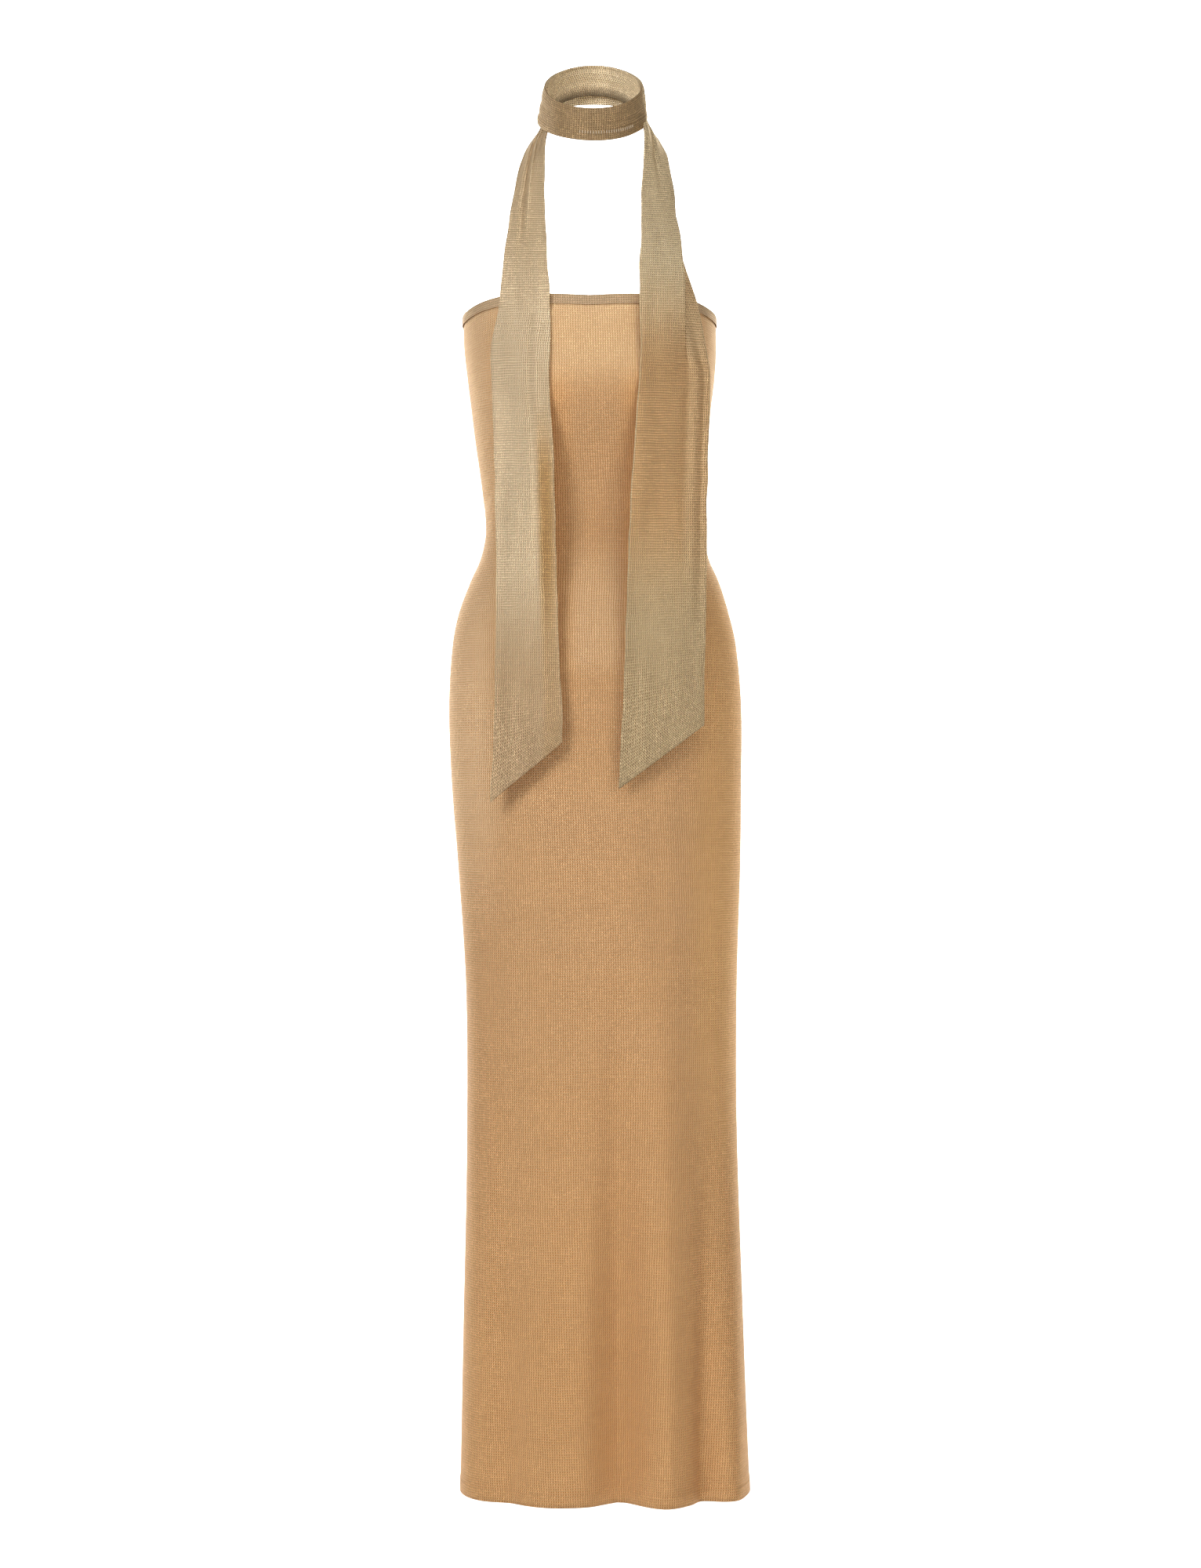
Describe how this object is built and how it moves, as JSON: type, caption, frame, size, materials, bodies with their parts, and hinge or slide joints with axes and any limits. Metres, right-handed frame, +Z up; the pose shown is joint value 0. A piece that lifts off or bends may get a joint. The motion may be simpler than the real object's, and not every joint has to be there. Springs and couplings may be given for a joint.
{
  "type": "strapless scarf dress",
  "caption": "Ankle-length strapless column dress of fine metallic knit, worn hollow, with a matching scarf wound round the neck and hanging down the front.",
  "frame": {"origin": "middle of the dress's top opening, at the level of its top edge, where it is held round the wearer", "axes": "+Z up, the front faces -Y, +X on the right when the dress is seen from the front"},
  "size_m": [0.3354, 0.2443, 1.598],
  "materials": {
    "dress_knit": "fine metallic knit over a peach lining",
    "edge_knit": "fine metallic knit with no lining",
    "scarf_knit": "fine metallic knit, double layer"
  },
  "bodies": {
    "root": {"dress_front": "dress_knit", "dress_back": "dress_knit", "neckline_binding_front": "edge_knit", "neckline_binding_back": "edge_knit", "scarf_neck_front": "scarf_knit", "scarf_neck_back_inner": "scarf_knit", "scarf_neck_back_outer": "scarf_knit", "scarf_tail_left": "scarf_knit", "scarf_tail_right": "scarf_knit"}
  },
  "joints": []
}
